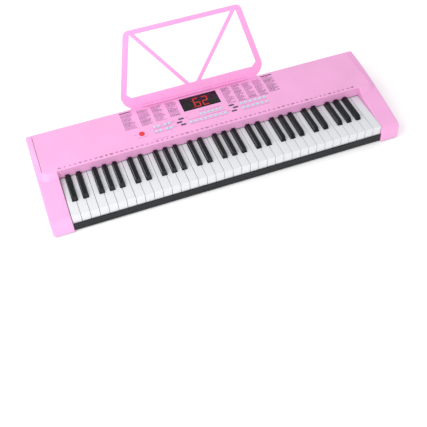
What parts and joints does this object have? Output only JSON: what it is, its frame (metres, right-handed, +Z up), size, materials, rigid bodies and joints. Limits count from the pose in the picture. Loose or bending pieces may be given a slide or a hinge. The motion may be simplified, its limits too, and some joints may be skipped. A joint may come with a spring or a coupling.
{
  "type": "electronic keyboard",
  "caption": "Portable electronic piano keyboard with a pink case, black and white keys, a number display, panel buttons and a lift-off music rest.",
  "frame": {"origin": "under the middle of the object's box, at the feet", "axes": "+X along the keys towards the high notes, +Y from the player to the rear, +Z up"},
  "size_m": [0.955, 0.359, 0.2882],
  "materials": {
    "pink_plastic": "satin moulded",
    "rest_plastic": "satin moulded",
    "black_plastic": "fine moulded texture",
    "key_white": "glossy",
    "key_black": "satin",
    "smoked_window": "glossy smoked",
    "display_black": "satin",
    "power_red": "glossy",
    "button_cyan": "soft rubber",
    "bar_dark": "soft rubber",
    "frame_grey": "moulded",
    "felt_red": "felt",
    "board_green": "lacquered board",
    "contact_rubber": "silicone",
    "ribbon_grey": "flexible",
    "speaker_black": "satin",
    "contact_metal": "nickel plated",
    "socket_black": "moulded",
    "foot_rubber": "matte",
    "screw_steel": "zinc plated"
  },
  "bodies": {
    "case": {"top_case": "pink_plastic", "bottom_case": "black_plastic", "display_window": "smoked_window", "display_module": "display_black", "key_frame": "frame_grey", "felt_strip": "felt_red", "key_contact_board": "board_green", "key_contact_rubber": "contact_rubber", "main_board": "board_green", "panel_board": "board_green", "ribbon_cables": "ribbon_grey", "speaker_left": "speaker_black", "speaker_right": "speaker_black", "battery_contacts": "contact_metal", "power_socket": "socket_black", "audio_sockets": "socket_black", "rubber_feet": "foot_rubber", "case_screws": "screw_steel"},
    "battery_cover": {"battery_cover": "black_plastic"},
    "music_rest": {"music_rest": "rest_plastic"},
    "power_button": {"power_button": "power_red"},
    "panel_buttons_left": {"panel_buttons_left": "button_cyan"},
    "panel_buttons_centre": {"panel_buttons_centre": "button_cyan"},
    "panel_buttons_right": {"panel_buttons_right": "button_cyan"},
    "bar_buttons_left": {"bar_buttons_left": "bar_dark"},
    "bar_buttons_right": {"bar_buttons_right": "bar_dark"},
    "key_c3": {"key_c3": "key_white"},
    "key_cs3": {"key_cs3": "key_black"},
    "key_d3": {"key_d3": "key_white"},
    "key_ds3": {"key_ds3": "key_black"},
    "key_e3": {"key_e3": "key_white"},
    "key_f3": {"key_f3": "key_white"},
    "key_fs3": {"key_fs3": "key_black"},
    "key_g3": {"key_g3": "key_white"},
    "key_gs3": {"key_gs3": "key_black"},
    "key_a3": {"key_a3": "key_white"},
    "key_as3": {"key_as3": "key_black"},
    "key_b3": {"key_b3": "key_white"},
    "key_c4": {"key_c4": "key_white"},
    "key_cs4": {"key_cs4": "key_black"},
    "key_d4": {"key_d4": "key_white"},
    "key_ds4": {"key_ds4": "key_black"},
    "key_e4": {"key_e4": "key_white"},
    "key_f4": {"key_f4": "key_white"},
    "key_fs4": {"key_fs4": "key_black"},
    "key_g4": {"key_g4": "key_white"},
    "key_gs4": {"key_gs4": "key_black"},
    "key_a4": {"key_a4": "key_white"},
    "key_as4": {"key_as4": "key_black"},
    "key_b4": {"key_b4": "key_white"},
    "keys_cegb_2": {"keys_cegb_2": "key_white"},
    "keys_dfa_2": {"keys_dfa_2": "key_white"},
    "keys_black_2": {"keys_black_2": "key_black"},
    "keys_cegb_5": {"keys_cegb_5": "key_white"},
    "keys_dfa_5": {"keys_dfa_5": "key_white"},
    "keys_black_5": {"keys_black_5": "key_black"},
    "keys_cegb_6": {"keys_cegb_6": "key_white"},
    "keys_dfa_6": {"keys_dfa_6": "key_white"},
    "keys_black_6": {"keys_black_6": "key_black"},
    "key_c7": {"key_c7": "key_white"}
  },
  "joints": [
    {"name": "key_c3_press", "type": "hinge", "parent": "case", "child": "key_c3", "pos_m": [-0.25145, 0.03047, 0.04175], "axis": [1, 0, 0], "range_deg": [0, 2.83], "stiffness_Nm_per_rad": 1.4, "springref_deg": -2.86},
    {"name": "key_cs3_press", "type": "hinge", "parent": "case", "child": "key_cs3", "pos_m": [-0.23735, 0.03047, 0.04175], "axis": [1, 0, 0], "range_deg": [0, 2.83], "stiffness_Nm_per_rad": 1.4, "springref_deg": -2.86},
    {"name": "key_d3_press", "type": "hinge", "parent": "case", "child": "key_d3", "pos_m": [-0.22325, 0.03047, 0.04175], "axis": [1, 0, 0], "range_deg": [0, 2.83], "stiffness_Nm_per_rad": 1.4, "springref_deg": -2.86},
    {"name": "key_ds3_press", "type": "hinge", "parent": "case", "child": "key_ds3", "pos_m": [-0.20915, 0.03047, 0.04175], "axis": [1, 0, 0], "range_deg": [0, 2.83], "stiffness_Nm_per_rad": 1.4, "springref_deg": -2.86},
    {"name": "key_e3_press", "type": "hinge", "parent": "case", "child": "key_e3", "pos_m": [-0.19505, 0.03047, 0.04175], "axis": [1, 0, 0], "range_deg": [0, 2.83], "stiffness_Nm_per_rad": 1.4, "springref_deg": -2.86},
    {"name": "key_f3_press", "type": "hinge", "parent": "case", "child": "key_f3", "pos_m": [-0.18129, 0.03047, 0.04175], "axis": [1, 0, 0], "range_deg": [0, 2.83], "stiffness_Nm_per_rad": 1.4, "springref_deg": -2.86},
    {"name": "key_fs3_press", "type": "hinge", "parent": "case", "child": "key_fs3", "pos_m": [-0.16786, 0.03047, 0.04175], "axis": [1, 0, 0], "range_deg": [0, 2.83], "stiffness_Nm_per_rad": 1.4, "springref_deg": -2.86},
    {"name": "key_g3_press", "type": "hinge", "parent": "case", "child": "key_g3", "pos_m": [-0.15443, 0.03047, 0.04175], "axis": [1, 0, 0], "range_deg": [0, 2.83], "stiffness_Nm_per_rad": 1.4, "springref_deg": -2.86},
    {"name": "key_gs3_press", "type": "hinge", "parent": "case", "child": "key_gs3", "pos_m": [-0.141, 0.03047, 0.04175], "axis": [1, 0, 0], "range_deg": [0, 2.83], "stiffness_Nm_per_rad": 1.4, "springref_deg": -2.86},
    {"name": "key_a3_press", "type": "hinge", "parent": "case", "child": "key_a3", "pos_m": [-0.12757, 0.03047, 0.04175], "axis": [1, 0, 0], "range_deg": [0, 2.83], "stiffness_Nm_per_rad": 1.4, "springref_deg": -2.86},
    {"name": "key_as3_press", "type": "hinge", "parent": "case", "child": "key_as3", "pos_m": [-0.11414, 0.03047, 0.04175], "axis": [1, 0, 0], "range_deg": [0, 2.83], "stiffness_Nm_per_rad": 1.4, "springref_deg": -2.86},
    {"name": "key_b3_press", "type": "hinge", "parent": "case", "child": "key_b3", "pos_m": [-0.10071, 0.03047, 0.04175], "axis": [1, 0, 0], "range_deg": [0, 2.83], "stiffness_Nm_per_rad": 1.4, "springref_deg": -2.86},
    {"name": "key_c4_press", "type": "hinge", "parent": "case", "child": "key_c4", "pos_m": [-0.08695, 0.03047, 0.04175], "axis": [1, 0, 0], "range_deg": [0, 2.83], "stiffness_Nm_per_rad": 1.4, "springref_deg": -2.86},
    {"name": "key_cs4_press", "type": "hinge", "parent": "case", "child": "key_cs4", "pos_m": [-0.07285, 0.03047, 0.04175], "axis": [1, 0, 0], "range_deg": [0, 2.83], "stiffness_Nm_per_rad": 1.4, "springref_deg": -2.86},
    {"name": "key_d4_press", "type": "hinge", "parent": "case", "child": "key_d4", "pos_m": [-0.05875, 0.03047, 0.04175], "axis": [1, 0, 0], "range_deg": [0, 2.83], "stiffness_Nm_per_rad": 1.4, "springref_deg": -2.86},
    {"name": "key_ds4_press", "type": "hinge", "parent": "case", "child": "key_ds4", "pos_m": [-0.04465, 0.03047, 0.04175], "axis": [1, 0, 0], "range_deg": [0, 2.83], "stiffness_Nm_per_rad": 1.4, "springref_deg": -2.86},
    {"name": "key_e4_press", "type": "hinge", "parent": "case", "child": "key_e4", "pos_m": [-0.03055, 0.03047, 0.04175], "axis": [1, 0, 0], "range_deg": [0, 2.83], "stiffness_Nm_per_rad": 1.4, "springref_deg": -2.86},
    {"name": "key_f4_press", "type": "hinge", "parent": "case", "child": "key_f4", "pos_m": [-0.01679, 0.03047, 0.04175], "axis": [1, 0, 0], "range_deg": [0, 2.83], "stiffness_Nm_per_rad": 1.4, "springref_deg": -2.86},
    {"name": "key_fs4_press", "type": "hinge", "parent": "case", "child": "key_fs4", "pos_m": [-0.00336, 0.03047, 0.04175], "axis": [1, 0, 0], "range_deg": [0, 2.83], "stiffness_Nm_per_rad": 1.4, "springref_deg": -2.86},
    {"name": "key_g4_press", "type": "hinge", "parent": "case", "child": "key_g4", "pos_m": [0.01007, 0.03047, 0.04175], "axis": [1, 0, 0], "range_deg": [0, 2.83], "stiffness_Nm_per_rad": 1.4, "springref_deg": -2.86},
    {"name": "key_gs4_press", "type": "hinge", "parent": "case", "child": "key_gs4", "pos_m": [0.0235, 0.03047, 0.04175], "axis": [1, 0, 0], "range_deg": [0, 2.83], "stiffness_Nm_per_rad": 1.4, "springref_deg": -2.86},
    {"name": "key_a4_press", "type": "hinge", "parent": "case", "child": "key_a4", "pos_m": [0.03693, 0.03047, 0.04175], "axis": [1, 0, 0], "range_deg": [0, 2.83], "stiffness_Nm_per_rad": 1.4, "springref_deg": -2.86},
    {"name": "key_as4_press", "type": "hinge", "parent": "case", "child": "key_as4", "pos_m": [0.05036, 0.03047, 0.04175], "axis": [1, 0, 0], "range_deg": [0, 2.83], "stiffness_Nm_per_rad": 1.4, "springref_deg": -2.86},
    {"name": "key_b4_press", "type": "hinge", "parent": "case", "child": "key_b4", "pos_m": [0.06379, 0.03047, 0.04175], "axis": [1, 0, 0], "range_deg": [0, 2.83], "stiffness_Nm_per_rad": 1.4, "springref_deg": -2.86},
    {"name": "keys_cegb_2_press", "type": "hinge", "parent": "case", "child": "keys_cegb_2", "pos_m": [-0.33991, 0.03047, 0.04175], "axis": [1, 0, 0], "range_deg": [0, 2.83], "stiffness_Nm_per_rad": 5.6, "springref_deg": -2.86},
    {"name": "keys_dfa_2_press", "type": "hinge", "parent": "case", "child": "keys_dfa_2", "pos_m": [-0.34187, 0.03047, 0.04175], "axis": [1, 0, 0], "range_deg": [0, 2.83], "stiffness_Nm_per_rad": 4.2, "springref_deg": -2.86},
    {"name": "keys_black_2_press", "type": "hinge", "parent": "case", "child": "keys_black_2", "pos_m": [-0.3384, 0.03047, 0.04175], "axis": [1, 0, 0], "range_deg": [0, 2.83], "stiffness_Nm_per_rad": 7, "springref_deg": -2.86},
    {"name": "keys_cegb_5_press", "type": "hinge", "parent": "case", "child": "keys_cegb_5", "pos_m": [0.15359, 0.03047, 0.04175], "axis": [1, 0, 0], "range_deg": [0, 2.83], "stiffness_Nm_per_rad": 5.6, "springref_deg": -2.86},
    {"name": "keys_dfa_5_press", "type": "hinge", "parent": "case", "child": "keys_dfa_5", "pos_m": [0.15163, 0.03047, 0.04175], "axis": [1, 0, 0], "range_deg": [0, 2.83], "stiffness_Nm_per_rad": 4.2, "springref_deg": -2.86},
    {"name": "keys_black_5_press", "type": "hinge", "parent": "case", "child": "keys_black_5", "pos_m": [0.1551, 0.03047, 0.04175], "axis": [1, 0, 0], "range_deg": [0, 2.83], "stiffness_Nm_per_rad": 7, "springref_deg": -2.86},
    {"name": "keys_cegb_6_press", "type": "hinge", "parent": "case", "child": "keys_cegb_6", "pos_m": [0.31809, 0.03047, 0.04175], "axis": [1, 0, 0], "range_deg": [0, 2.83], "stiffness_Nm_per_rad": 5.6, "springref_deg": -2.86},
    {"name": "keys_dfa_6_press", "type": "hinge", "parent": "case", "child": "keys_dfa_6", "pos_m": [0.31613, 0.03047, 0.04175], "axis": [1, 0, 0], "range_deg": [0, 2.83], "stiffness_Nm_per_rad": 4.2, "springref_deg": -2.86},
    {"name": "keys_black_6_press", "type": "hinge", "parent": "case", "child": "keys_black_6", "pos_m": [0.3196, 0.03047, 0.04175], "axis": [1, 0, 0], "range_deg": [0, 2.83], "stiffness_Nm_per_rad": 7, "springref_deg": -2.86},
    {"name": "key_c7_press", "type": "hinge", "parent": "case", "child": "key_c7", "pos_m": [0.41125, 0.03047, 0.04175], "axis": [1, 0, 0], "range_deg": [0, 2.83], "stiffness_Nm_per_rad": 1.4, "springref_deg": -2.86},
    {"name": "power_button_press", "type": "slide", "parent": "case", "child": "power_button", "axis": [0, 0.0261, -0.9997], "range_m": [0, 0.0008], "stiffness_N_per_m": 300, "springref_m": -0.004},
    {"name": "panel_buttons_left_press", "type": "slide", "parent": "case", "child": "panel_buttons_left", "axis": [0, 0.0261, -0.9997], "range_m": [0, 0.0008], "stiffness_N_per_m": 200, "springref_m": -0.004},
    {"name": "panel_buttons_centre_press", "type": "slide", "parent": "case", "child": "panel_buttons_centre", "axis": [0, 0.0261, -0.9997], "range_m": [0, 0.0008], "stiffness_N_per_m": 200, "springref_m": -0.004},
    {"name": "panel_buttons_right_press", "type": "slide", "parent": "case", "child": "panel_buttons_right", "axis": [0, 0.0261, -0.9997], "range_m": [0, 0.0008], "stiffness_N_per_m": 200, "springref_m": -0.004},
    {"name": "bar_buttons_left_press", "type": "slide", "parent": "case", "child": "bar_buttons_left", "axis": [0, 0.0261, -0.9997], "range_m": [0, 0.0008], "stiffness_N_per_m": 200, "springref_m": -0.004},
    {"name": "bar_buttons_right_press", "type": "slide", "parent": "case", "child": "bar_buttons_right", "axis": [0, 0.0261, -0.9997], "range_m": [0, 0.0008], "stiffness_N_per_m": 200, "springref_m": -0.004},
    {"name": "music_rest_lift", "type": "slide", "parent": "case", "child": "music_rest", "axis": [0, 0.309, 0.9511], "range_m": [0, 0.03]},
    {"name": "battery_cover_open", "type": "hinge", "parent": "case", "child": "battery_cover", "pos_m": [0, 0.09807, 0.004], "axis": [1, 0, 0], "range_deg": [0, 75]}
  ]
}
